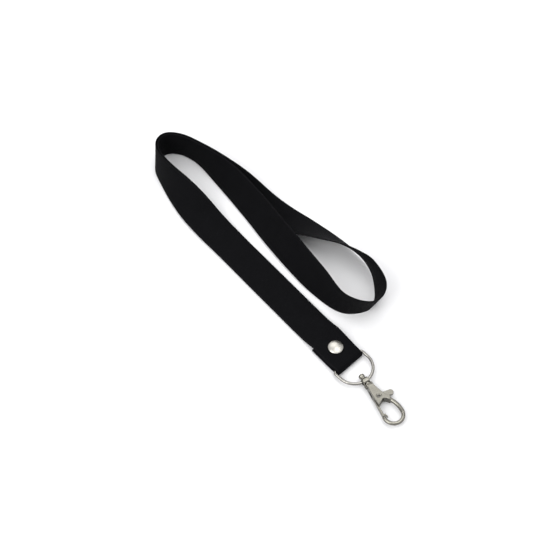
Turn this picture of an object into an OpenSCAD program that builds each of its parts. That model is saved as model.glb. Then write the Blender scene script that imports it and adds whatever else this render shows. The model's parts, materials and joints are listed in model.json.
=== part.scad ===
// Neck lanyard: one flat ribbon folded double, riveted round a D-ring that
// carries a swivel trigger hook. It lies on a table, with the strap's straight
// upper run along X and the hook at +X. The origin is the middle of the rivet's
// underside, on the table.

/* [Strap] */
// Width of the ribbon
strap_w = 20; // [15:1:22]
// Thickness of one ply of the ribbon
strap_t = 0.8; // [0.6:0.1:0.9]
// Length of the folded tails that run back from the ring to past the rivet
tail_l = 19; // [16:1:26]

/* [Rivet] */
// Diameter of the domed cap on top
cap_d = 9; // [7:0.5:10]
// Height of the domed cap
cap_h = 1.8; // [1.2:0.1:2.5]
// Diameter of the post that runs through the plies
post_d = 3; // [2.5:0.1:3.5]

/* [D-ring] */
// Diameter of the ring's wire
wire_d = 1.8; // [1.5:0.1:1.9]
// Inside width of the ring, along the bar
ring_inner_w = 20; // [19.6:0.1:21]
// Distance from the bar's middle to the middle of the bow's far wire
ring_reach = 16.3; // [16:0.1:19]

/* [Swivel] */
// Outside diameter of the eye's hub
hub_d = 4.4; // [4.2:0.1:5]
// Length of the hub along the ring's wire
hub_l = 4.6; // [4:0.1:5]
// Diameter of the stem that turns in the hook's collar
stem_d = 2.4; // [2:0.1:2.6]

/* [Hook] */
// Thickness of the hook's housing
body_t = 5; // [4.6:0.1:5.4]
// Diameter of the wire-like bow
bow_d = 2.3; // [2:0.1:2.6]
// Radius of the round end of the bow, at its middle line
bow_r = 5.6; // [5:0.1:6]
// Thickness of the gate lever inside the housing
lever_t = 1.6; // [1.2:0.1:1.6]

/* [Hidden] */
$fn = 64;

ply = strap_t + 0.1;              // pitch of stacked plies, with an air gap
back_t = 0.8;                     // thickness of the rivet's lower cap
bar_x = 11;                       // the ring's bar inside the fold
hw_z = 2.9;                       // height of the ring's plane and the hook's mid-plane
ring_yaw = 6;                     // the ring lies slightly askew in the fold
hook_yaw = -4;                    // the hook lies slightly askew on the ring
fold_w = ring_inner_w - 0.8;      // the ribbon is gathered a little inside the ring
fold_r = wire_d/2 + 0.15 + strap_t/2;   // inner ply's middle round the bar
tail_x = bar_x - tail_l;

ring_hw = ring_inner_w/2 + wire_d/2;    // half width at the wire's middle
ring_leg = ring_reach - ring_hw;        // straight part of each side
corner_r = 1.5;                         // bend where a side meets the bar

pivot_u = 12.9;                   // pivot's place along the hook, from the ring's wire
pin_d = 1.9;
collar_u = 2.5;                   // start of the collar
collar_l = 1.9;
collar_d = 5.5;
body_u = collar_u + collar_l;
head_u = 5.9;                     // start of the stem's head in its pocket
head_l = 1;
slot_w = lever_t + 0.2;
bow_c = [26.4, 0.45];             // middle of the bow's round end
bow_a1 = 78;                      // round end: from this angle ...
bow_a2 = -105;                    // ... to the nose at this one
back_r = 16;                      // radius of the bow's long back
back_d = bow_d + 0.2;             // the back is a little stouter than the round end
back_a = 122;                     // where the back meets the housing

strap_col = [0.09, 0.09, 0.1];
nickel_col = [0.72, 0.71, 0.68];

// Route of the ribbon's middle line from the rivet round the loop and back to
// the rivet: x, y, z and the turn of the ribbon about its own run, where 0 and
// -360 lie face up and -180 lies face down.
ROUTE = [
  [-9, 0, 3.7, 0], [-20, -0.5, 1.8, 0], [-45, -1.5, 1.6, 0], [-70, -2.5, 1.6, 0], [-95, -3.5, 1.7, 0],
  [-116, -5, 3.5, -12], [-138, -6.6, 8.3, -46], [-155, -6.8, 10.2, -70], [-168, -5.2, 10.8, -82],
  [-175.5, 0.2, 10.8, -89], [-176.6, 8, 10.7, -90], [-169.3, 15.8, 10.5, -90], [-154, 20.9, 10.5, -97],
  [-132, 24.4, 8.6, -126], [-110, 28.6, 3.2, -165], [-93, 33, 2, -182], [-76, 38.8, 4.6, -204],
  [-60, 43.7, 7.9, -223], [-48, 47.2, 9.8, -238], [-37, 49.4, 10.5, -250], [-25, 48.9, 10.5, -268],
  [-10.6, 42.2, 10.2, -288], [-6.6, 31.5, 10.3, -288], [-18, 20, 10.5, -266], [-40, 18.7, 9.6, -241],
  [-62, 19.7, 8.8, -232], [-84, 20.9, 8.6, -230], [-106, 22.2, 8.8, -232], [-132, 22.3, 9.3, -240],
  [-154, 19.2, 10.7, -263], [-168, 14.9, 10.6, -270], [-175.2, 8, 10.7, -270], [-174.2, 0.7, 10.7, -271],
  [-167.4, -4.1, 10.6, -278], [-155, -5.6, 9.8, -290], [-138, -5.5, 7.7, -314], [-116, -4.7, 2.5, -348],
  [-95, -3.5, 0.7, -360], [-70, -2.5, 0.6, -360], [-45, -1.5, 0.6, -360], [-20, -0.5, 0.8, -360],
  [-9, 0, 2.8, -360]];
ROUTE_STEPS = 6;                  // rings of points between two places on the route

function unit(v) = v / norm(v);
function mix(a, b, f) = a + (b - a) * f;
function smooth(f) = let (g = max(0, min(1, f))) g * g * (3 - 2 * g);

// A smooth curve through places a, b, c and d, between b and c
function curve(a, b, c, d, f) =
  b + 0.5 * f * (c - a + f * (2*a - 5*b + 4*c - d + f * (3*(b - c) + d - a)));

function route_at(i, f) =
  let (n = len(ROUTE))
  curve(i > 0 ? ROUTE[i-1] : 2*ROUTE[0] - ROUTE[1], ROUTE[i], ROUTE[i+1],
        i < n - 2 ? ROUTE[i+2] : 2*ROUTE[n-1] - ROUTE[n-2], f);
function xyz(s) = [s[0], s[1], s[2]];

// One ring of the ribbon: its middle, its width direction and its face direction
function route_ring(i, f) =
  let (s = route_at(i, f),
       run = unit(xyz(route_at(i, f + 0.02)) - xyz(route_at(i, f - 0.02))),
       side = unit(cross([0, 0, 1], run)),
       across = side * cos(s[3]) + cross(run, side) * sin(s[3]))
  [xyz(s), across, cross(run, across), strap_w];

route_rings = [for (i = [0 : len(ROUTE) - 2], k = [0 : ROUTE_STEPS - 1])
               route_ring(i, k / ROUTE_STEPS)];
last_ring = route_ring(len(ROUTE) - 2, 1);

// One end of the ribbon, from its cut tail round the bar and back to the rivet.
// layer is 0 for the inner ply and 1 for the outer one.
bar_dir = [-sin(ring_yaw), cos(ring_yaw), 0];
bar_out = [cos(ring_yaw), sin(ring_yaw), 0];
function end_flat(x, layer, up) =
  let (r = fold_r + layer * ply,
       f = smooth((x - cap_d/2 + 1) / (bar_x - cap_d/2 + 1)),
       z_rivet = back_t + strap_t/2 + ply * (up > 0 ? 2 + layer : 1 - layer),
       askew = up > 0 ? 0 : -0.045 * (bar_x - x))
  [[x, askew, mix(z_rivet, hw_z + up * r, f)], unit(mix([0, 1, 0], bar_dir, f)), [0, 0, up],
   mix(strap_w, fold_w, f)];
function end_round(a, layer) =
  let (out = bar_out * cos(a) + [0, 0, sin(a)])
  [[bar_x, 0, hw_z] + out * (fold_r + layer * ply), bar_dir, out, fold_w];
function end_rings(layer) =
  concat([for (x = [tail_x, -4, 0, 4, 6, 8]) end_flat(x, layer, -1)],
         [for (a = [-90 : 15 : 90]) end_round(a, layer)],
         [for (x = [8.6, 7.2, 5.8, 4, 0, -4]) end_flat(x, layer, 1)]);
function flip(r) = [r[0], -r[1], r[2], r[3]];
function reverse(list) = [for (i = [len(list) - 1 : -1 : 0]) list[i]];

strap_rings = concat([for (r = end_rings(1)) flip(r)], route_rings, [last_ring],
                     reverse(end_rings(0)));

// A closed band swept through rings of four corners
module band(rings, t) {
  n = len(rings);
  corners = [for (r = rings, c = [[-1, -1], [1, -1], [1, 1], [-1, 1]])
             r[0] + r[1] * c[0] * r[3] / 2 + r[2] * c[1] * t / 2];
  sides = [for (i = [0 : n - 2], k = [0 : 3])
           [4*i + k, 4*i + (k + 1) % 4, 4*(i + 1) + (k + 1) % 4, 4*(i + 1) + k]];
  halves = [for (j = [0 : len(sides) - 1], h = [0, 1])
            let (q = sides[j], r = j % 4 == 2 ? [q[1], q[2], q[3], q[0]] : q)
            h == 0 ? [r[0], r[2], r[1]] : [r[0], r[3], r[2]]];
  last = 4 * (n - 1);
  polyhedron(corners, concat(halves, [[0, 1, 2], [0, 2, 3]],
             [[last, last + 2, last + 1], [last, last + 3, last + 2]]));
}

module strap() {
  color(strap_col)
    difference() {
      band(strap_rings, strap_t);
      cylinder(d = post_d + 0.2, h = 3 * cap_h + 4 * ply);
    }
}

plies_top = back_t + 3 * ply + strap_t;

// Domed cap with its post; the dome is a slice of a ball
module rivet_cap() {
  dome_r = (cap_d * cap_d / 4 + cap_h * cap_h) / (2 * cap_h);
  color(nickel_col) {
    translate([0, 0, plies_top + 0.05])
      rotate_extrude()
        intersection() {
          translate([0, cap_h - dome_r]) circle(r = dome_r, $fn = 128);
          square([cap_d, cap_h]);
        }
    translate([0, 0, back_t / 2]) cylinder(d = post_d, h = plies_top + 0.1 - back_t / 2);
  }
}

// Flat lower cap with a short socket that grips the post
module rivet_back() {
  color(nickel_col)
    difference() {
      rotate_extrude()
        polygon([[0, 0], [cap_d/2 - 0.6, 0], [cap_d/2 - 0.2, 0.2], [cap_d/2 - 0.2, back_t - 0.05],
                 [0, back_t - 0.05]]);
      translate([0, 0, back_t / 2]) cylinder(d = post_d + 0.04, h = back_t);
    }
}

module at_bar() { translate([bar_x, 0, hw_z]) rotate([0, 0, ring_yaw]) children(); }

// Part of a round wire bent to radius r, from angle a round by sweep degrees
module bent_wire(r, d, a, sweep) {
  rotate([0, 0, a]) rotate_extrude(angle = sweep) translate([r, 0]) circle(d = d, $fn = 32);
}

module d_ring() {
  color(nickel_col)
    at_bar() {
      rotate([90, 0, 0]) cylinder(d = wire_d, h = 2 * (ring_hw - corner_r), center = true, $fn = 32);
      for (s = [-1, 1]) {
        translate([corner_r, s * (ring_hw - corner_r), 0])
          bent_wire(corner_r, wire_d, s > 0 ? 90 : 180, 90);
        translate([corner_r, s * ring_hw, 0])
          rotate([0, 90, 0]) cylinder(d = wire_d, h = ring_leg - corner_r, $fn = 32);
      }
      translate([ring_leg, 0, 0]) bent_wire(ring_hw, wire_d, -90, 180);
    }
}

// The hook's own frame: the ring's wire runs through its origin along Y, the
// stem along X, and Z is square to the hook's flat side.
ring_mid = [bar_x + ring_leg * cos(ring_yaw), ring_leg * sin(ring_yaw)];
hook_at = [ring_mid[0] + ring_hw * cos(hook_yaw), ring_mid[1] + ring_hw * sin(hook_yaw), hw_z];
module at_hook() { translate(hook_at) rotate([0, 0, hook_yaw]) children(); }

// Turns a profile of [along, radius] places about the hook's X axis
module turned(profile) { rotate([90, 0, 90]) rotate_extrude() polygon([for (p = profile) [p[1], p[0]]]); }

// Hub threaded on the ring's wire, a round knob inside the ring, and a stem
// whose head is held in the hook's collar
module swivel_eye() {
  bore_r = wire_d/2 + 0.45;
  wall_u = bore_r + 0.15;         // knob and stem stop inside the hub's wall
  knob_r = 1.8;
  color(nickel_col)
    at_hook() {
      rotate([90, 0, 0])
        rotate_extrude()
          polygon([[bore_r, -hub_l/2], [hub_d/2 - 0.5, -hub_l/2], [hub_d/2, -hub_l/2 + 0.5],
                   [hub_d/2, hub_l/2 - 0.5], [hub_d/2 - 0.5, hub_l/2], [bore_r, hub_l/2]]);
      turned([[-4.9, 0], [-4.9, knob_r - 0.7], [-4.4, knob_r - 0.1], [-3.6, knob_r],
              [-2.6, knob_r - 0.4], [-wall_u, knob_r - 0.4], [-wall_u, 0]]);
      turned([[wall_u, 0], [wall_u, stem_d/2], [head_u, stem_d/2], [head_u, 1.6],
              [head_u + head_l, 1.6], [head_u + head_l, 0]]);
    }
}

// Outline of the housing, seen square to its flat side
module housing_outline() {
  polygon([[body_u - 0.1, -2], [body_u - 0.1, 2], [9, 2.8], [14.2, 3.9], [16.2, 5.6],
           [18.6, 4.1], [16.4, 2.6], [15.4, 1.2], [17.6, -3.6], [10.5, -3.1]]);
}

module hook_body() {
  lift = body_t / 2;
  color(nickel_col)
    at_hook()
      difference() {
        union() {
          turned([[collar_u, 0], [collar_u, collar_d/2 - 0.4], [collar_u + 0.4, collar_d/2],
                  [body_u - 0.4, collar_d/2], [body_u, collar_d/2 - 0.4], [body_u, 0]]);
          translate([0, 0, -lift]) linear_extrude(body_t) housing_outline();
          translate(bow_c) bent_wire(bow_r, bow_d, bow_a2, bow_a1 - bow_a2);
          translate(bow_c + (bow_r - back_r) * [cos(bow_a1), sin(bow_a1)])
            bent_wire(back_r, back_d, bow_a1 - 2, back_a - bow_a1 + 2);
        }
        // bore for the stem and pocket for its head
        rotate([0, 90, 0]) cylinder(d = stem_d + 0.1, h = head_u);
        translate([head_u - 0.2, 0, 0]) rotate([0, 90, 0]) cylinder(d = 3.5, h = head_l + 0.4);
        // slot for the lever, open to the gate's side, the tab's side and the bow
        translate([7.2, -6, -slot_w/2]) cube([12, 7.4, slot_w]);
        translate([7.2, -6, -slot_w/2]) cube([8, 14, slot_w]);
        translate([pivot_u, 0, 0]) cylinder(d = pin_d, h = 2 * body_t, center = true);
      }
}

// Gate bar, hub and thumb tab in one flat piece
module gate_lever() {
  bar_t = 2.2;
  color(nickel_col)
    at_hook()
      difference() {
        union() {
          translate([0, 0, -lever_t/2])
            linear_extrude(lever_t) {
              translate([pivot_u, 0]) circle(r = 2.2);
              polygon([[10.9, 0.8], [11.5, 5], [12, 7.4], [15.7, 7.4], [14.9, 5.6], [14.5, 4.2], [14.5, 1]]);
              translate([13.85, 7.4]) circle(r = 1.85);
              polygon([[11, -1], [10.8, -3], [18.6, -4.7], [18.6, -3.4], [15, -1.5], [14, 0]]);
            }
          translate([0, 0, -bar_t/2])
            linear_extrude(bar_t)
              polygon([[18.2, -3.3], [18.2, -4.6], [24.4, -5.7], [24.4, -4.3], [23, -4]]);
          translate([0, 0, -0.7])
            linear_extrude(1.4)
              polygon([[23, -4.1], [24.4, -4.4], [24.5, -3.5], [26, -3.4], [26, -2.9], [23.6, -3.1]]);
        }
        translate([pivot_u, 0, 0]) cylinder(d = pin_d + 0.1, h = 2 * body_t, center = true);
        translate([pivot_u, 0, -lever_t]) cylinder(d = 3.4, h = lever_t);
      }
}

// Pin across the housing, hollow at both ends
module pivot_pin() {
  color(nickel_col)
    at_hook()
      translate([pivot_u, 0, 0])
        difference() {
          cylinder(d = pin_d, h = body_t - 0.2, center = true);
          for (s = [-1, 1])
            translate([0, 0, s * body_t / 2]) cylinder(d = 1.2, h = 1.2, center = true);
        }
}

// Torsion spring: three turns round the pin with a leg to the lever and one to
// the housing
spring_r = 1.32;
spring_wire = 0.22;
spring_turns = 2.75;
function spring_path() =
  concat([[spring_r, -0.6, -0.68]],
         [for (a = [0 : 20 : 360 * spring_turns])
          [spring_r * cos(a), spring_r * sin(a), -0.68 + 0.54 * a / (360 * spring_turns)]],
         [[-0.6, -spring_r, -0.14]]);
module gate_spring() {
  path = spring_path();
  n = len(path);
  sides = 6;
  rings = [for (i = [0 : n - 1])
           let (run = unit(path[min(i + 1, n - 1)] - path[max(i - 1, 0)]),
                e = unit(cross([0, 0, 1], run)), f = cross(run, e))
           for (k = [0 : sides - 1])
             path[i] + spring_wire / 2 * (e * cos(360 * k / sides) - f * sin(360 * k / sides))];
  walls = [for (i = [0 : n - 2], k = [0 : sides - 1])
           [sides*i + k, sides*i + (k + 1) % sides, sides*(i + 1) + (k + 1) % sides, sides*(i + 1) + k]];
  color("dimgray")
    at_hook()
      translate([pivot_u, 0, 0])
        polyhedron(rings, concat(walls, [[for (k = [sides - 1 : -1 : 0]) k]],
                                 [[for (k = [0 : sides - 1]) sides * (n - 1) + k]]));
}

strap();
rivet_cap();
rivet_back();
d_ring();
swivel_eye();
hook_body();
gate_lever();
pivot_pin();
gate_spring();
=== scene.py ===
# %% [markdown]
# # A neck lanyard, laid out on a table
# The object is one length of black cross-ribbed ribbon. It is folded double, its
# ends go round the bar of a D-ring, and one rivet holds all four plies. A swivel
# eye rides on the ring and carries a trigger hook. The frame that is loaded here
# holds every part as a plain solid, with its place and its hinges; this lesson
# gives each part its finished shape and its finish.

# %% Load the frame
import json
import math

import bmesh
import bpy
from mathutils import Matrix, Vector


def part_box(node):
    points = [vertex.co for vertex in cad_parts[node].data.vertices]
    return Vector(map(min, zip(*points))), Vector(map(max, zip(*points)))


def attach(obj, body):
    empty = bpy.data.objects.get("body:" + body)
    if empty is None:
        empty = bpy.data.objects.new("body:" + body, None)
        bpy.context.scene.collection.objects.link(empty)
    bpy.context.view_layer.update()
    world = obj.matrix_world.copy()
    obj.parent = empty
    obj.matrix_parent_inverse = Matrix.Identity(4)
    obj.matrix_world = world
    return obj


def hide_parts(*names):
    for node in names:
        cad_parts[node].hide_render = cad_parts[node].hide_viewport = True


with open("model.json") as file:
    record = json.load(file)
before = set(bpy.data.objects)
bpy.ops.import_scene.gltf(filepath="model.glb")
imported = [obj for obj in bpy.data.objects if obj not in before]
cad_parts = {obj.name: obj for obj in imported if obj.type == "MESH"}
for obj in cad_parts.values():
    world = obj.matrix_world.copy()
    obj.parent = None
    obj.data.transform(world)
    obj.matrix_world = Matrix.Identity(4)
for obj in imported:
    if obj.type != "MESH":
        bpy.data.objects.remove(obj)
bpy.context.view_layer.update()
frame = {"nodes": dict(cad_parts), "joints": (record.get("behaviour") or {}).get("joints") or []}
MM = 0.001
print("parts:", ", ".join(sorted(frame["nodes"])))

# %% [markdown]
# ## Camera
# A long lens from a metre away keeps the ribbon's width nearly the same from end
# to end, as in a catalogue picture. The camera looks down steeply, from the side
# of the hook, and aims at the middle of the whole lanyard.

# %% Set up the camera
AIM = Vector((-0.0585, 0.0051, 0.0))
STAND = Vector((0.3636, -0.3260, 0.8261))

camera = bpy.data.objects.new("camera", bpy.data.cameras.new("camera"))
camera.data.sensor_width = 36
camera.data.lens = 106.4
camera.data.clip_start = 0.01
camera.location = STAND
camera.rotation_euler = (AIM - STAND).to_track_quat("-Z", "Y").to_euler()
bpy.context.scene.collection.objects.link(camera)
bpy.context.scene.camera = camera
print("camera to lanyard:", round((AIM - STAND).length, 3), "m")

# %% [markdown]
# ## Places that the frame gives
# The hinges say where the metal parts sit: the ring turns about its bar, the eye
# about the ring's far wire, the hook about its stem and the gate about its pin.
# Each makes a small coordinate frame, so every part below is modelled in
# millimetres about its own hinge and then placed.

# %% Work out the placing matrices
hinge = {joint["name"]: joint for joint in frame["joints"]}


def place_on(joint, x_axis, y_axis):
    """A matrix from millimetres about a hinge to metres in the frame."""
    x, y = Vector(x_axis).normalized(), Vector(y_axis).normalized()
    turn = Matrix((x, y, x.cross(y))).transposed().to_4x4()
    return Matrix.Translation(Vector(hinge[joint]["pos_m"])) @ turn @ Matrix.Scale(MM, 4)


bar_line = Vector(hinge["ring_swing"]["axis"])
stem_line = Vector(hinge["hook_spin"]["axis"])
wire_line = Vector(hinge["eye_swing"]["axis"])
RING = place_on("ring_swing", bar_line.cross(Vector((0, 0, 1))), bar_line)
HOOK = place_on("eye_swing", stem_line, wire_line)
GATE_U = (HOOK.inverted() @ Vector(hinge["gate_swing"]["pos_m"])).x
print("pin sits", round(GATE_U, 2), "mm along the hook")

# %% [markdown]
# ## Helpers for meshes
# Every piece starts from a bmesh. A turned piece is a profile spun about an axis,
# a stamped piece is an outline that is extruded and bevelled, and a die-cast piece
# is several closed shells joined, cut, and then remeshed so that all its edges and
# inside corners come out soft, as molten metal leaves them.

# %% Turn, stamp and cast
UPRIGHT = Matrix.Rotation(math.pi / 2, 3, "X")


def turned(profile, axis="X", steps=64):
    """Spins (along, radius) places, in order, about an axis through the origin."""
    along = {"X": Vector((1, 0, 0)), "Y": Vector((0, 1, 0)), "Z": Vector((0, 0, 1))}[axis]
    out = {"X": Vector((0, 1, 0)), "Y": Vector((1, 0, 0)), "Z": Vector((1, 0, 0))}[axis]
    bm = bmesh.new()
    verts = [bm.verts.new(along * a + out * r) for a, r in profile]
    edges = [bm.edges.new(pair) for pair in zip(verts, verts[1:])]
    bmesh.ops.spin(bm, geom=verts + edges, axis=along, cent=(0, 0, 0), dvec=(0, 0, 0),
                   angle=2 * math.pi, steps=steps, use_merge=True, use_duplicate=False)
    bmesh.ops.remove_doubles(bm, verts=bm.verts, dist=1e-4)
    bmesh.ops.recalc_face_normals(bm, faces=bm.faces)
    return bm


def ring_turned(profile, axis="Y", steps=64):
    """Spins a closed (along, radius) outline that stays off the axis."""
    return turned(list(profile) + [profile[0]], axis, steps)


def stamped(outline, low, high, edge=0.0):
    """A flat plate between two heights, with its rims rounded by edge."""
    bm = bmesh.new()
    bm.faces.new([bm.verts.new((u, v, low)) for u, v in outline])
    face = bmesh.ops.extrude_face_region(bm, geom=bm.faces[:])
    top = [v for v in face["geom"] if isinstance(v, bmesh.types.BMVert)]
    bmesh.ops.translate(bm, verts=top, vec=(0, 0, high - low))
    bmesh.ops.recalc_face_normals(bm, faces=bm.faces)
    if edge:
        rims = [e for e in bm.edges if abs(e.verts[0].co.z - e.verts[1].co.z) < 1e-6]
        bmesh.ops.bevel(bm, geom=rims, affect="EDGES", offset=edge, segments=3,
                        profile=0.5, material=-1)
    return bm


def disc(u, v, radius, first=0, last=360, count=36):
    """Places round a circle, or part of one, as an outline for stamping."""
    whole = last - first == 360
    turns = [first + (last - first) * k / count for k in range(count if whole else count + 1)]
    return [(u + radius * math.cos(math.radians(a)), v + radius * math.sin(math.radians(a)))
            for a in turns]


def block(low, high):
    """A box between two corners, for cutting."""
    bm = bmesh.new()
    bmesh.ops.create_cube(bm, size=1)
    size = [h - l for l, h in zip(low, high)]
    bmesh.ops.scale(bm, vec=size, verts=bm.verts)
    bmesh.ops.translate(bm, verts=bm.verts, vec=[(l + h) / 2 for l, h in zip(low, high)])
    return bm


def bent_wire(centre, radius, thick, start, sweep, steps):
    """A round wire bent to an arc in the flat of the hook."""
    bm = bmesh.new()
    bmesh.ops.create_circle(bm, cap_ends=True, segments=32, radius=thick / 2)
    bmesh.ops.rotate(bm, cent=(0, 0, 0), matrix=UPRIGHT, verts=bm.verts)
    bmesh.ops.translate(bm, verts=bm.verts, vec=(radius, 0, 0))
    bmesh.ops.rotate(bm, cent=(0, 0, 0), matrix=Matrix.Rotation(math.radians(start), 3, "Z"),
                     verts=bm.verts)
    bmesh.ops.spin(bm, geom=bm.faces[:], axis=(0, 0, 1), cent=(0, 0, 0), dvec=(0, 0, 0),
                   angle=math.radians(sweep), steps=steps, use_merge=False, use_duplicate=False)
    bmesh.ops.recalc_face_normals(bm, faces=bm.faces)
    bmesh.ops.translate(bm, verts=bm.verts, vec=(centre[0], centre[1], 0))
    return bm


def loose(name, shells):
    """Joins bmeshes into one unplaced object."""
    mesh = bpy.data.meshes.new(name)
    whole = bmesh.new()
    for shell in shells:
        part = bpy.data.meshes.new("shell")
        shell.to_mesh(part)
        shell.free()
        whole.from_mesh(part)
        bpy.data.meshes.remove(part)
    whole.to_mesh(mesh)
    whole.free()
    thing = bpy.data.objects.new(name, mesh)
    bpy.context.scene.collection.objects.link(thing)
    return thing


def settled(thing):
    """Applies an object's modifiers and returns the finished mesh."""
    bpy.context.view_layer.update()
    seen = thing.evaluated_get(bpy.context.evaluated_depsgraph_get())
    mesh = bpy.data.meshes.new_from_object(seen)
    thing.modifiers.clear()
    thing.data = mesh
    return mesh


def cast(name, shells, cutters=(), grain=0.1, soften=4):
    """Joins shells, cuts hollows out of them, and rounds everything like a casting."""
    thing = loose(name, shells)
    for number, cutter in enumerate(cutters):
        tool = loose(f"{name}_cut{number}", [cutter])
        cut = thing.modifiers.new("cut", "BOOLEAN")
        cut.operation, cut.solver, cut.object, cut.use_self = "DIFFERENCE", "EXACT", tool, True
        settled(thing)
        bpy.data.objects.remove(tool)
    skin = thing.modifiers.new("skin", "REMESH")
    skin.mode, skin.voxel_size, skin.use_smooth_shade = "VOXEL", grain, True
    smooth = thing.modifiers.new("smooth", "SMOOTH")
    smooth.factor, smooth.iterations = 0.5, soften
    settled(thing)
    return thing


def finished(thing, placing, material, body, *nodes, slot, sharp=None):
    """Places a piece, shades it, gives it its finish, and lets it ride on its body."""
    mesh = thing.data
    mesh.transform(placing)
    mesh.polygons.foreach_set("use_smooth", [True] * len(mesh.polygons))
    if sharp:
        mesh.set_sharp_from_angle(angle=math.radians(sharp))
    mesh.materials.clear()
    mesh.materials.append(material)
    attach(thing, body)
    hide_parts(*nodes)
    print(f"{thing.name}: {len(mesh.polygons)} faces")
    return thing


# %% [markdown]
# ## Helpers for finishes
# A material is a small network of nodes. Writing the network as sums keeps it
# readable: the class below wraps one number on its way through the material, and
# each operator adds the Math node for it.

# %% Numbers that become Math nodes
class Number:
    """A value inside a finish; arithmetic on it adds Math nodes."""

    def __init__(self, finish, socket):
        self.finish, self.socket = finish, socket

    def maths(self, operation, *values):
        return self.finish.add("Math", {"operation": operation}, dict(enumerate(values)))

    def __add__(self, other):
        return self.maths("ADD", self, other)

    def __sub__(self, other):
        return self.maths("SUBTRACT", self, other)

    def __rsub__(self, other):
        return self.maths("SUBTRACT", other, self)

    def __mul__(self, other):
        return self.maths("MULTIPLY", self, other)

    def __abs__(self):
        return self.maths("ABSOLUTE", self)

    def sine(self):
        return self.maths("SINE", self)

    def above(self, limit):
        return self.maths("GREATER_THAN", self, limit)

    def clamped(self):
        return self.maths("MINIMUM", self.maths("MAXIMUM", self, 0.0), 1.0)

    __radd__, __rmul__ = __add__, __mul__


class Finish:
    """One material and the way to add a node to it."""

    def __init__(self, name):
        self.material = bpy.data.materials.new(name)
        self.material.use_nodes = True
        self.tree = self.material.node_tree
        self.tree.nodes.clear()

    def add(self, kind, settings=None, values=None, out=0):
        node = self.tree.nodes.new("ShaderNode" + kind)
        for name, setting in (settings or {}).items():
            if name == "stops":
                ramp = node.color_ramp
                while len(ramp.elements) < len(setting):
                    ramp.elements.new(1.0)
                for element, (place, colour) in zip(ramp.elements, setting):
                    element.position, element.color = place, (*colour, 1)
            else:
                setattr(node, name, setting)
        for name, value in (values or {}).items():
            if isinstance(value, Number):
                self.tree.links.new(value.socket, node.inputs[name])
            else:
                node.inputs[name].default_value = value
        return Number(self, node.outputs[out])

    def mixed(self, mask, first, second):
        """Blends two colours, each a Number or an (r, g, b)."""
        def full(c):
            return c if isinstance(c, Number) else (*c, 1)
        return self.add("Mix", {"data_type": "RGBA"},
                        {0: mask, 6: full(first), 7: full(second)}, out=2)

    def close(self, shader):
        output = self.tree.nodes.new("ShaderNodeOutputMaterial")
        self.tree.links.new(shader.socket, output.inputs["Surface"])
        return self.material


# %% [markdown]
# ## Nickel plate
# The hook, the ring and the rivet are zinc and steel with a thin nickel plate. They
# are polished by tumbling, so the surface is bright but never quite flat: it has
# a faint orange-peel, a few dull spots where parts knocked together, and grime
# that dulls some patches. All of it is noise in the piece's own coordinates. The
# sides are also mixed darker than the two flat faces. That is painted shade, a
# choice of look and not something known of the plate: it stands in for dark
# surroundings mirrored in the sides, which the pale table here fills with light.

# %% Mix the nickel
def nickel(name, tint, roughness, peel, spots=0.3, painted_flank_shade=0.0):
    f = Finish(name)
    where = f.add("TexCoord", out=3)
    patches = f.add("TexNoise", {"noise_dimensions": "3D"},
                    {"Vector": where, "Scale": 240.0, "Detail": 1.5, "Roughness": 0.5})
    fine = f.add("TexNoise", {"noise_dimensions": "3D"},
                 {"Vector": where, "Scale": 1500.0, "Detail": 1.0, "Roughness": 0.4})
    knocks = f.add("TexVoronoi", {"feature": "F1"}, {"Vector": where, "Scale": 650.0})
    dull = ((patches - 0.45) * 3.0).clamped()
    pits = ((0.16 - knocks) * 6.0).clamped() * dull
    colour = f.mixed(dull * spots, tint, tuple(c * 0.72 for c in tint))
    colour = f.mixed(pits * 0.4, colour, tuple(c * 0.5 for c in tint))
    facing = f.add("SeparateXYZ", None, {0: f.add("TexCoord", out=1)}, out=2)
    # Painted shade: faces that turn sideways in the piece's own coordinates are mixed darker, a
    # painted reflection of dark surroundings.
    flank_shade = ((0.62 - abs(facing)) * 1.5).clamped()
    colour = f.mixed(flank_shade * painted_flank_shade, colour, tuple(c * 0.3 for c in tint))
    rough = dull * 0.06 + fine * 0.03 + pits * 0.12 + (roughness - 0.02)
    height = patches * 1.0 + fine * 0.05 - pits * 0.2
    bump = f.add("Bump", None, {"Strength": peel, "Distance": 0.0002, "Height": height})
    shader = f.add("BsdfPrincipled", None, {"Base Color": colour, "Metallic": 1.0,
                                            "Roughness": rough, "Normal": bump})
    return f.close(shader)


CAST_NICKEL = nickel("cast_nickel", (0.27, 0.26, 0.225), 0.22, 0.06, painted_flank_shade=0.85)
WIRE_NICKEL = nickel("wire_nickel", (0.34, 0.33, 0.305), 0.16, 0.05, spots=0.2, painted_flank_shade=0.7)
CAP_NICKEL = nickel("cap_nickel", (0.52, 0.505, 0.46), 0.34, 0.02, spots=0.1)
PIN_STEEL = nickel("pin_steel", (0.14, 0.135, 0.125), 0.32, 0.1)
SPRING_STEEL = nickel("spring_steel", (0.30, 0.29, 0.28), 0.34, 0.1)
print("finishes:", ", ".join(m.name for m in bpy.data.materials))

# %% [markdown]
# ## The ribbon's route
# The ribbon is a fixed length of something flexible, so its route comes first: the
# middle line's places, in metres, and the turn of the ribbon about its own run in
# degrees. They are the same places that the solid was made from. A fifth number
# says how far the middle of the ribbon bows away from its edges.

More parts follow.
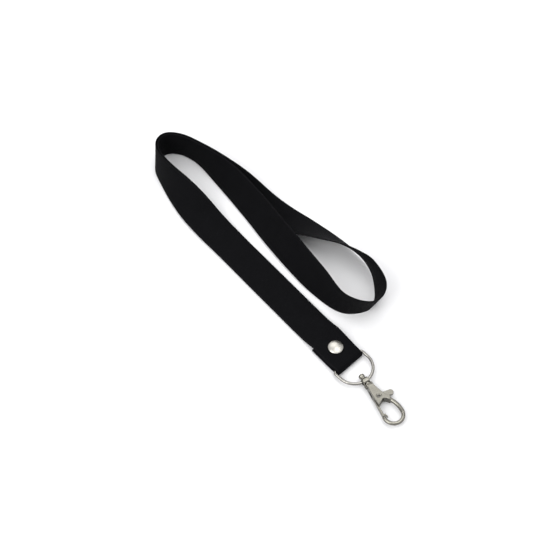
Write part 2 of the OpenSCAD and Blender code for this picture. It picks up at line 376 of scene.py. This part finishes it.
# %% The route from the rivet round the loop and back
ROUTE = [
    (-0.009, 0, 0.0037, 0, 0), (-0.02, -0.0005, 0.0018, 0, 0), (-0.045, -0.0015, 0.0016, 0, 0),
    (-0.07, -0.0025, 0.0016, 0, 0), (-0.095, -0.0035, 0.0017, 0, 0), (-0.116, -0.005, 0.0035, -12, 0),
    (-0.138, -0.0066, 0.0083, -46, 0), (-0.155, -0.0068, 0.0102, -70, 0),
    (-0.168, -0.0052, 0.0108, -82, 0), (-0.1755, 0.0002, 0.0108, -89, 0),
    (-0.1766, 0.008, 0.0107, -90, 0), (-0.1693, 0.0158, 0.0105, -90, 0),
    (-0.154, 0.0209, 0.0105, -97, 0), (-0.132, 0.0244, 0.0086, -126, 0),
    (-0.11, 0.0286, 0.0032, -165, 0), (-0.093, 0.033, 0.002, -182, 0),
    (-0.076, 0.0388, 0.0046, -204, 0), (-0.06, 0.0437, 0.0079, -223, 0),
    (-0.048, 0.0472, 0.0098, -238, 0), (-0.037, 0.0494, 0.0105, -250, 0),
    (-0.025, 0.0489, 0.0105, -268, 0), (-0.0106, 0.0422, 0.0102, -288, 0),
    (-0.0066, 0.0315, 0.0103, -288, 0), (-0.018, 0.02, 0.0105, -266, 0),
    (-0.04, 0.0187, 0.0096, -241, -0.0004), (-0.062, 0.0197, 0.0088, -232, -0.0012),
    (-0.084, 0.0209, 0.0086, -230, -0.0014), (-0.106, 0.0222, 0.0088, -232, -0.0008),
    (-0.132, 0.0223, 0.0093, -240, 0), (-0.154, 0.0192, 0.0107, -263, 0),
    (-0.168, 0.0149, 0.0106, -270, 0), (-0.1752, 0.008, 0.0107, -270, 0),
    (-0.1742, 0.0007, 0.0107, -271, 0), (-0.1674, -0.0041, 0.0106, -278, 0),
    (-0.155, -0.0056, 0.0098, -290, 0), (-0.138, -0.0055, 0.0077, -314, 0),
    (-0.116, -0.0047, 0.0025, -348, 0), (-0.095, -0.0035, 0.0007, -360, 0),
    (-0.07, -0.0025, 0.0006, -360, 0), (-0.045, -0.0015, 0.0006, -360, 0),
    (-0.02, -0.0005, 0.0008, -360, 0), (-0.009, 0, 0.0028, -360, 0)]
RIBBON_WIDE = 20.0 * MM
RIBBON_THICK = 0.8 * MM
PLY = RIBBON_THICK + 0.1 * MM
print("route places:", len(ROUTE))


# %% Walk along the route
def smooth_step(f):
    f = max(0.0, min(1.0, f))
    return f * f * (3 - 2 * f)


def curve(a, b, c, d, f):
    """A smooth curve through four places, between the middle two."""
    return [q + 0.5 * f * (r - p + f * (2 * p - 5 * q + 4 * r - s + f * (3 * (q - r) + s - p)))
            for p, q, r, s in zip(a, b, c, d)]


def beyond(a, b):
    return [2 * p - q for p, q in zip(a, b)]


def route_place(i, f):
    before = ROUTE[i - 1] if i else beyond(ROUTE[0], ROUTE[1])
    after = ROUTE[i + 2] if i + 2 < len(ROUTE) else beyond(ROUTE[-1], ROUTE[-2])
    return curve(before, ROUTE[i], ROUTE[i + 1], after, f)


def lay(i, f):
    """The ribbon at one place: its middle, the way across, its face, width and bow."""
    here = route_place(i, f)
    run = (Vector(route_place(i, f + 0.02)[:3]) - Vector(route_place(i, f - 0.02)[:3])).normalized()
    side = Vector((0, 0, 1)).cross(run).normalized()
    turn = math.radians(here[3])
    across = side * math.cos(turn) + run.cross(side) * math.sin(turn)
    return Vector(here[:3]), across, run.cross(across), RIBBON_WIDE, here[4]


# %% [markdown]
# ## The folded ends
# Each end of the ribbon comes to the rivet, goes on to the ring's bar, round it and
# back under the rivet as a short tail. One end is the outer layer and the other
# the inner one, so the rivet holds four plies. The plies are squeezed flat at
# the rivet and part on their way to the bar.

# %% Fold the two ends round the bar
bar_mid = Vector(hinge["ring_swing"]["pos_m"])
bar_out = bar_line.cross(Vector((0, 0, 1)))
cap_low, cap_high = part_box("rivet_cap")
back_low, back_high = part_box("rivet_back")
CAP_R = (cap_high.x - cap_low.x) / 2
BAR_R, BAR_PLAY = 0.9 * MM, 0.15 * MM    # the ring's bar, and the air round it in the fold
SKEW = 0.045                             # how far the tails drift sideways along their length
BACK_T = back_high.z + 0.05 * MM
FOLD_R = BAR_R + BAR_PLAY + RIBBON_THICK / 2
FOLD_WIDE = 19.2 * MM
TAIL_X = bar_mid.x - 19 * MM
FLAT_END, ROUTE_END = 8 * MM, -4 * MM


def end_flat(x, layer, up):
    """One flat ply near the rivet: up is 1 over the bar and -1 under it."""
    f = smooth_step((x - CAP_R + MM) / (bar_mid.x - CAP_R + MM))
    at_rivet = BACK_T + RIBBON_THICK / 2 + PLY * (2 + layer if up > 0 else 1 - layer)
    z = at_rivet + (bar_mid.z + up * (FOLD_R + layer * PLY) - at_rivet) * f
    y = 0.0 if up > 0 else -SKEW * (bar_mid.x - x)
    across = Vector((0, 1, 0)).lerp(bar_line, f).normalized()
    wide = RIBBON_WIDE + (FOLD_WIDE - RIBBON_WIDE) * f
    return Vector((x, y, z)), across, Vector((0, 0, up)), wide, 0.0


def end_round(degrees, layer):
    a = math.radians(degrees)
    out = bar_out * math.cos(a) + Vector((0, 0, math.sin(a)))
    return bar_mid + out * (FOLD_R + layer * PLY), bar_line.copy(), out, FOLD_WIDE, 0.0


def spread(first, last, step):
    count = max(1, round(abs(last - first) / step))
    return [first + (last - first) * k / count for k in range(count + 1)]


def end_places(layer):
    """From the cut tail, round the bar, and back to just behind the rivet."""
    return ([end_flat(x, layer, -1) for x in spread(TAIL_X, FLAT_END, MM)]
            + [end_round(a, layer) for a in spread(-90, 90, 6)]
            + [end_flat(x, layer, 1) for x in spread(FLAT_END + 0.6 * MM, ROUTE_END, MM)])


FINE = 40
places = [(m, -a, n, w, b) for m, a, n, w, b in end_places(1)]
places += [lay(i, k / FINE) for i in range(len(ROUTE) - 1) for k in range(FINE)]
places += [lay(len(ROUTE) - 2, 1.0)] + end_places(0)[::-1]
print("stations along the ribbon:", len(places))

# %% Measure the ribbon's length
milestones = [0.0]
for before, after in zip(places, places[1:]):
    milestones.append(milestones[-1] + (after[0] - before[0]).length)
RIBBON_LONG = milestones[-1]
print("ribbon length:", round(RIBBON_LONG, 4), "m")


# %% [markdown]
# ## Weaving the ribbon
# A grid is the ribbon before it is sewn: one row of faces for each quarter of a
# cross rib, and a narrow column at each side for the selvage. Extruding it gives
# it a thickness. The ribs are pressed in while it is still flat, because there
# they are only a wave along the length, and then the whole ribbon is laid along
# its route. The flat places stay on it as a map for its finish.

# %% Make the flat ribbon
RIB = 0.75 * MM
COLUMNS = [-1, -0.955, -0.6, -0.2, 0.2, 0.6, 0.955, 1]
rows = 4 * round(RIBBON_LONG / RIB)
ribbon = bmesh.new()
bmesh.ops.create_grid(ribbon, x_segments=len(COLUMNS) - 1, y_segments=rows, size=1.0)
column_gap, row_gap = 2 / (len(COLUMNS) - 1), 2 / rows
for vert in ribbon.verts:
    across, along = round((vert.co.x + 1) / column_gap), round((vert.co.y + 1) / row_gap)
    vert.co = (COLUMNS[across], along * RIBBON_LONG / rows, 0.5)
flat_map = ribbon.loops.layers.uv.new("flat")
raised = bmesh.ops.extrude_face_region(ribbon, geom=ribbon.faces[:])
under = [v for v in raised["geom"] if isinstance(v, bmesh.types.BMVert)]
bmesh.ops.translate(ribbon, verts=under, vec=(0, 0, -1))
bmesh.ops.recalc_face_normals(ribbon, faces=ribbon.faces)
for face in ribbon.faces:
    for loop in face.loops:
        loop[flat_map].uv = (loop.vert.co.x * RIBBON_WIDE / 2, loop.vert.co.y)
print("ribbon rows:", rows, "vertices:", len(ribbon.verts))


# %% Press in the ribs and lay the ribbon along its route
def laid(u, s, h):
    """Where a flat place (across -1 to 1, along in metres, height -0.5 to 0.5) lies."""
    while laid.step < len(milestones) - 2 and milestones[laid.step + 1] < s:
        laid.step += 1
    k = laid.step
    f = (s - milestones[k]) / (milestones[k + 1] - milestones[k])
    (m0, a0, n0, w0, b0), (m1, a1, n1, w1, b1) = places[k], places[k + 1]
    rib = math.cos(2 * math.pi * s / RIB)
    edge = abs(u) > 0.99
    thick = RIBBON_THICK * (0.45 if edge else 0.9 + 0.1 * rib)
    bow = (b0 + (b1 - b0) * f) * (u * u - 0.33)
    wide = (w0 + (w1 - w0) * f) / 2 + (0.03 * MM * rib if edge else 0)
    return (m0.lerp(m1, f) + a0.lerp(a1, f).normalized() * u * wide
            + n0.lerp(n1, f).normalized() * (h * thick + bow))


laid.step = 0
for vert in sorted(ribbon.verts, key=lambda v: v.co.y):
    vert.co = laid(*vert.co)
strap = loose("ribbon", [])
ribbon.to_mesh(strap.data)
ribbon.free()
print("ribbon area:", round(sum(p.area for p in strap.data.polygons), 5), "m2 over both faces")

# %% [markdown]
# ## Black ribbed ribbon
# The ribbon is dull black polyester. Each rib is a bundle of weft under many fine
# warp threads, so beside the ribs, which are in the mesh, the finish has a finer
# thread pattern across the width, a soft sheen, and a little lint and unevenness.
# Its selvage edges are mixed a little lighter: a painted highlight, where the edge
# catches the light.

# %% Dye the ribbon
def ribbed_black():
    f = Finish("ribbed_black")
    flat = f.add("UVMap", {"uv_map": "flat"})
    across, along = (f.add("SeparateXYZ", None, {0: flat}, out=axis) for axis in (0, 1))
    rib = (along * (2 * math.pi / RIB)).sine()
    warp = (across * (2 * math.pi / (0.28 * MM))).sine()
    cloud, fuzz, specks = (
        f.add("TexNoise", {"noise_dimensions": "3D"},
              {"Vector": flat, "Scale": scale, "Detail": detail})
        for scale, detail in ((120.0, 3.0), (3500.0, 2.0), (900.0, 0.0)))
    lint = (specks - 0.74) * 12.0
    # Painted highlight: the outer strip along each edge is mixed lighter, standing in for light
    # caught by the edge.
    selvage_highlight = abs(across).above(RIBBON_WIDE / 2 * 0.95)
    shade = (rib * 0.18 + warp * 0.08 + cloud * 0.5 + fuzz * 0.25 + 0.15).clamped()
    colour = f.mixed(shade, (0.0010, 0.0010, 0.0013), (0.0060, 0.0061, 0.0071))
    colour = f.mixed(lint.clamped() * 0.25, colour, (0.016, 0.016, 0.018))
    colour = f.mixed(selvage_highlight * 0.4, colour, (0.009, 0.009, 0.010))
    height = rib * 0.6 + warp * 0.25 + fuzz * 0.6
    bump = f.add("Bump", None, {"Strength": 0.9, "Distance": 0.00008, "Height": height})
    rough = cloud * 0.12 + 0.76
    shader = f.add("BsdfPrincipled", None, {
        "Base Color": colour, "Roughness": rough, "Normal": bump, "Specular IOR Level": 0.06,
        "Sheen Weight": 0.006, "Sheen Roughness": 0.45, "Sheen Tint": (0.6, 0.62, 0.7, 1)})
    return f.close(shader)


finished(strap, Matrix.Identity(4), ribbed_black(), "strap", "strap", slot="ribbon")

# %% [markdown]
# ## The rivet
# The cap is a stamped dome whose rim is rolled under, with its post in one piece,
# and the back is a flat washer with the socket that grips the post. Both are
# round, so each is one profile spun about the post.

# %% Turn the rivet's cap and back
def arc(centre, radius, first, last, count):
    """Places on an arc of a profile, by angle from the along direction."""
    along, out = centre
    return [(along + radius * math.cos(math.radians(a)), out + radius * math.sin(math.radians(a)))
            for a in spread(first, last, abs(last - first) / count)]


cap_r, cap_top = CAP_R / MM, cap_high.z / MM
cap_base = (BACK_T + 3 * PLY + RIBBON_THICK) / MM
rim_r = 0.4
rim_tilt = math.degrees(2 * math.atan2(cap_top - cap_base - 2 * rim_r, cap_r - rim_r))
dome_r = rim_r + (cap_r - rim_r) / math.sin(math.radians(rim_tilt))
cap_profile = (arc((cap_top - dome_r, 0), dome_r, 0, rim_tilt, 24)
               + arc((cap_base + rim_r, cap_r - rim_r), rim_r, rim_tilt, 180, 12)
               + [(cap_base, 1.7), (cap_base - 0.1, 1.5), (0.42, 1.5), (0.4, 1.4), (0.4, 0)])
cap = loose("rivet_cap_dome", [turned(cap_profile, "Z", 96)])
finished(cap, Matrix.Scale(MM, 4), CAP_NICKEL, "strap", "rivet_cap", slot="nickel", sharp=50)

back_r, back_t = (back_high.x - back_low.x) / 2 / MM, back_high.z / MM
back_profile = ([(0, 0), (0, back_r - 0.5)] + arc((0.3, back_r - 0.3), 0.3, 180, 90, 5)
                + [(back_t - 0.15, back_r), (back_t, back_r - 0.15), (back_t, 1.75),
                   (back_t - 0.1, 1.52), (0.4, 1.52), (0.4, 0)])
back = loose("rivet_back_cap", [turned(back_profile, "Z", 96)])
finished(back, Matrix.Scale(MM, 4), CAP_NICKEL, "strap", "rivet_back", slot="nickel", sharp=50)

# %% [markdown]
# ## The D-ring
# The ring is one wire, bent round a former: a straight bar, two tight corners, two
# short legs and a half circle. A circle of wire is pushed along that path with
# extrusions for the straights and spins for the bends. Its ends meet in the middle
# of the bar, inside the fold, and are joined: where the real wire's ends meet
# isn't seen.

# %% Bend the D-ring
ring_low, ring_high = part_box("d_ring")
WIRE_R = (ring_high.z - ring_low.z) / 2 / MM
ring_mid_u = (RING.inverted() @ Vector(hinge["eye_swing"]["pos_m"])).x
BAR_HALF, CORNER_R = 10.9, 1.5
LEG = ring_mid_u - BAR_HALF


def d_ring_wire():
    bm = bmesh.new()
    bmesh.ops.create_circle(bm, cap_ends=False, segments=32, radius=WIRE_R)
    bmesh.ops.rotate(bm, cent=(0, 0, 0), matrix=UPRIGHT, verts=bm.verts)
    tip = bm.edges[:]

    def push(edges, vec):
        geom = bmesh.ops.extrude_edge_only(bm, edges=edges)["geom"]
        verts = [g for g in geom if isinstance(g, bmesh.types.BMVert)]
        bmesh.ops.translate(bm, verts=verts, vec=vec)
        return [g for g in geom if isinstance(g, bmesh.types.BMEdge) and
                all(v in verts for v in g.verts)]

    def bend(edges, centre, degrees, steps):
        geom = bmesh.ops.spin(bm, geom=edges, axis=(0, 0, 1), cent=(*centre, 0), dvec=(0, 0, 0),
                              angle=math.radians(degrees), steps=steps)["geom_last"]
        return [g for g in geom if isinstance(g, bmesh.types.BMEdge)]

    side = BAR_HALF - CORNER_R
    tip = push(tip, (0, -side, 0))
    tip = bend(tip, (CORNER_R, -side), 90, 10)
    tip = push(tip, (LEG - CORNER_R, 0, 0))
    tip = bend(tip, (LEG, 0), 180, 72)
    tip = push(tip, (CORNER_R - LEG, 0, 0))
    tip = bend(tip, (CORNER_R, side), 90, 10)
    tip = push(tip, (0, -side, 0))
    bmesh.ops.remove_doubles(bm, verts=bm.verts, dist=1e-3)
    bmesh.ops.recalc_face_normals(bm, faces=bm.faces)
    return bm


ring = loose("d_ring_wire", [d_ring_wire()])
finished(ring, RING, WIRE_NICKEL, "ring", "d_ring", slot="nickel")

# %% [markdown]
# ## The swivel eye
# The eye is a small casting: a hub bored for the ring's wire, a round knob inside
# the ring, and a stem with a head that the hook's collar is closed round. The hub
# and knob are turned shapes, and casting them together rounds where they meet.

# %% Cast the swivel eye
HUB_R, HUB_HALF, BORE_R = 2.2, 2.3, 1.35
hub = ring_turned([(-HUB_HALF, BORE_R), (-HUB_HALF, HUB_R - 0.6), (-HUB_HALF + 0.6, HUB_R),
                   (HUB_HALF - 0.6, HUB_R), (HUB_HALF, HUB_R - 0.6), (HUB_HALF, BORE_R)])
knob = turned([(-4.9, 0), (-4.9, 0.9), (-4.75, 1.35), (-4.3, 1.75), (-3.6, 1.8), (-3.0, 1.65),
               (-2.5, 1.4), (-1.6, 1.4), (-1.6, 0)])
stem = turned([(1.6, 0), (1.6, 1.5), (2.2, 1.3), (2.5, 1.15), (5.9, 1.15), (5.9, 1.6),
               (6.9, 1.6), (6.9, 0)])
eye = cast("swivel_eye_casting", [hub, knob, stem], grain=0.07, soften=5)
finished(eye, HOOK, CAST_NICKEL, "swivel", "swivel_eye", slot="nickel")

# %% [markdown]
# ## The hook body
# Collar, housing and bow are one zinc casting. The collar is turned, the housing
# is a flat wedge with bevelled edges and a slot for the gate, and the bow is a
# bent bar that leaves the housing's upper side, runs round and ends in the nose.

# %% Cast the hook body
HOUSE_T = 5.0
BOW = (26.4, 0.45)
BOW_R, BACK_R = 5.6, 16.0
BOW_TOP, BOW_NOSE, BACK_END = 78, -105, 122
collar = turned([(2.5, 0), (2.5, 2.35), (2.65, 2.7), (2.85, 2.75), (3.15, 2.75), (3.3, 2.55),
                 (3.4, 2.35), (3.5, 2.35), (3.6, 2.6), (3.8, 2.75), (4.15, 2.7), (4.35, 2.4),
                 (4.4, 2.2), (4.4, 0)])
outline = [(4.3, -1.9), (4.3, 1.9), (9.5, 2.7), (14.4, 3.9), (16.2, 5.6), (18.6, 4.1),
           (16.4, 2.6), (15.4, 1.2), (17.7, -3.5), (10.5, -3.1)]
house = stamped(outline, -HOUSE_T / 2, HOUSE_T / 2, edge=0.35)
round_end = bent_wire(BOW, BOW_R, 2.3, BOW_NOSE, BOW_TOP - BOW_NOSE, 48)
top_dir = Vector((math.cos(math.radians(BOW_TOP)), math.sin(math.radians(BOW_TOP))))
back_at = Vector(BOW) + top_dir * (BOW_R - BACK_R)
long_back = bent_wire(back_at, BACK_R, 2.5, BOW_TOP - 3, BACK_END - BOW_TOP + 3, 24)
SLOT = 1.9
hook = cast("hook_casting", [collar, house, round_end, long_back], [
    turned([(0, 0), (0, 1.25), (5.8, 1.25), (5.8, 1.75), (7.2, 1.75), (7.2, 0)]),
    block((7.2, -6, -SLOT / 2), (19.2, 1.4, SLOT / 2)),
    block((7.2, -6, -SLOT / 2), (14.8, 8, SLOT / 2)),
    stamped(disc(GATE_U, 0, 0.98), -3, 3),
    stamped(disc(GATE_U, 0, 1.55), 2.2, 3), stamped(disc(GATE_U, 0, 1.55), -3, -2.2)],
    grain=0.09, soften=5)
finished(hook, HOOK, CAST_NICKEL, "hook", "hook_body", slot="nickel")

# %% [markdown]
# ## The gate
# Gate bar, hub and thumb tab are one flat stamping that turns on the pin, pushed
# shut by a small torsion spring inside. The bar is broader outside the housing.

# %% Stamp the gate lever
LEVER_T, BAR_T, TONGUE_T = 1.6, 2.2, 1.4


def plate(outline, thick, edge=0.0):
    """A stamped plate with its middle in the flat of the hook."""
    return stamped(outline, -thick / 2, thick / 2, edge)


thumb_tab = ([(14.5, 0.8), (14.5, 4.2), (14.9, 5.6)] + disc(13.85, 7.4, 1.85, 0, 180)
             + [(11.5, 5), (10.9, 0.8)])
arm = [(11, -1), (14, 0), (15, -1.5), (18.6, -3.4), (18.6, -4.7), (10.8, -3)]
gate_bar = [(18.2, -3.3), (23, -4.0), (24.4, -4.3), (24.4, -5.7), (18.2, -4.6)]
tongue = [(23, -4.1), (23.6, -3.1), (26, -2.9), (26, -3.4), (24.5, -3.5), (24.4, -4.4)]
lever = cast("gate_lever_stamping", [
    plate(disc(GATE_U, 0, 2.2), LEVER_T), plate(thumb_tab, LEVER_T, 0.2), plate(arm, LEVER_T),
    plate(gate_bar, BAR_T, 0.2), plate(tongue, TONGUE_T)],
    [plate(disc(GATE_U, 0, 1.02), 6), stamped(disc(GATE_U, 0, 1.7), -3, 0)], grain=0.07, soften=2)
finished(lever, HOOK, CAST_NICKEL, "gate", "gate_lever", slot="nickel")

# %% Turn the pivot pin and wind the spring
at_pin = HOOK @ Matrix.Translation((GATE_U, 0, 0))
pin_half = 2.4
dished_end = [(pin_half - 0.1, 0.95), (pin_half, 0.62), (pin_half - 0.55, 0.45), (pin_half - 0.6, 0)]
pin_profile = [(-along, out) for along, out in dished_end[::-1]] + dished_end
pin = loose("pivot_pin_rivet", [turned(pin_profile, "Z", 48)])
finished(pin, at_pin, PIN_STEEL, "hook", "pivot_pin", slot="pin_steel", sharp=40)

COIL_R, COIL_LOW, COIL_RISE, COIL_WIRE_R = 1.32, -0.68, 0.54, 0.11
TURNS, PER_TURN = 2.75, 36
coil = bmesh.new()
bmesh.ops.create_circle(coil, cap_ends=True, segments=10, radius=COIL_WIRE_R)
bmesh.ops.rotate(coil, cent=(0, 0, 0), matrix=UPRIGHT, verts=coil.verts)
bmesh.ops.translate(coil, verts=coil.verts, vec=(COIL_R, 0, COIL_LOW))
steps = round(TURNS * PER_TURN)
bmesh.ops.spin(coil, geom=coil.faces[:], axis=(0, 0, 1), cent=(0, 0, 0),
               dvec=(0, 0, COIL_RISE / steps), angle=2 * math.pi * TURNS, steps=steps,
               use_duplicate=False)
bmesh.ops.recalc_face_normals(coil, faces=coil.faces)
spring = loose("gate_spring_coil", [coil])
finished(spring, at_pin, SPRING_STEEL, "hook", "gate_spring", slot="spring_steel")

# %% [markdown]
# ## Table and light
# The lanyard lies on a pale, plain table top. Large soft lights leave only soft
# shadows, and the surroundings are a grey gradient, darker low down, so the
# nickel has something dark to mirror beside the bright lights.

# %% Lay the table top
table_mesh = bpy.data.meshes.new("table_top")
table = bpy.data.objects.new("table_top", table_mesh)
bpy.context.scene.collection.objects.link(table)
bm = bmesh.new()
bmesh.ops.create_grid(bm, x_segments=1, y_segments=1, size=3.0)
bmesh.ops.translate(bm, verts=bm.verts, vec=(0, 0, -0.1 * MM))
bm.to_mesh(table_mesh)
bm.free()
top_finish = Finish("table_white")
grain = top_finish.add("TexNoise", {"noise_dimensions": "3D"},
                       {"Vector": top_finish.add("TexCoord", out=3), "Scale": 40.0})
table_mesh.materials.append(top_finish.close(top_finish.add("BsdfPrincipled", None, {
    "Base Color": top_finish.mixed(grain, (0.86, 0.86, 0.86), (0.9, 0.9, 0.9)), "Roughness": 0.7,
    "Specular IOR Level": 0.2})))


# %% Hang the lights
def soft_light(name, at, size, watts, colour=(1, 1, 1), wide=None):
    data = bpy.data.lights.new(name, "AREA")
    data.shape, data.size, data.size_y = "RECTANGLE", size, wide or size
    data.energy, data.color = watts, colour
    thing = bpy.data.objects.new(name, data)
    thing.location = at
    thing.rotation_euler = (AIM - Vector(at)).to_track_quat("-Z", "Y").to_euler()
    bpy.context.scene.collection.objects.link(thing)
    return thing


soft_light("key", (0.0, -0.75, 0.75), 0.7, 5.4)
soft_light("fill", (-0.8, 0.35, 0.8), 0.9, 3.6)
soft_light("top", (0.15, 0.25, 1.2), 0.8, 4.4)

world = bpy.data.worlds.new("studio")
bpy.context.scene.world = world
world.use_nodes = True
tree = world.node_tree
tree.nodes.clear()
direction = tree.nodes.new("ShaderNodeTexCoord")
height = tree.nodes.new("ShaderNodeSeparateXYZ")
ramp = tree.nodes.new("ShaderNodeValToRGB")
ramp.color_ramp.elements[0].position, ramp.color_ramp.elements[0].color = 0.0, (0.10, 0.10, 0.11, 1)
ramp.color_ramp.elements[1].position, ramp.color_ramp.elements[1].color = 0.75, (0.95, 0.95, 0.97, 1)
sky = tree.nodes.new("ShaderNodeBackground")
sky.inputs["Strength"].default_value = 0.95
out = tree.nodes.new("ShaderNodeOutputWorld")
tree.links.new(direction.outputs["Generated"], height.inputs[0])
tree.links.new(height.outputs["Z"], ramp.inputs[0])
tree.links.new(ramp.outputs[0], sky.inputs["Color"])
tree.links.new(sky.outputs[0], out.inputs["Surface"])

bpy.context.scene.view_settings.view_transform = "Standard"
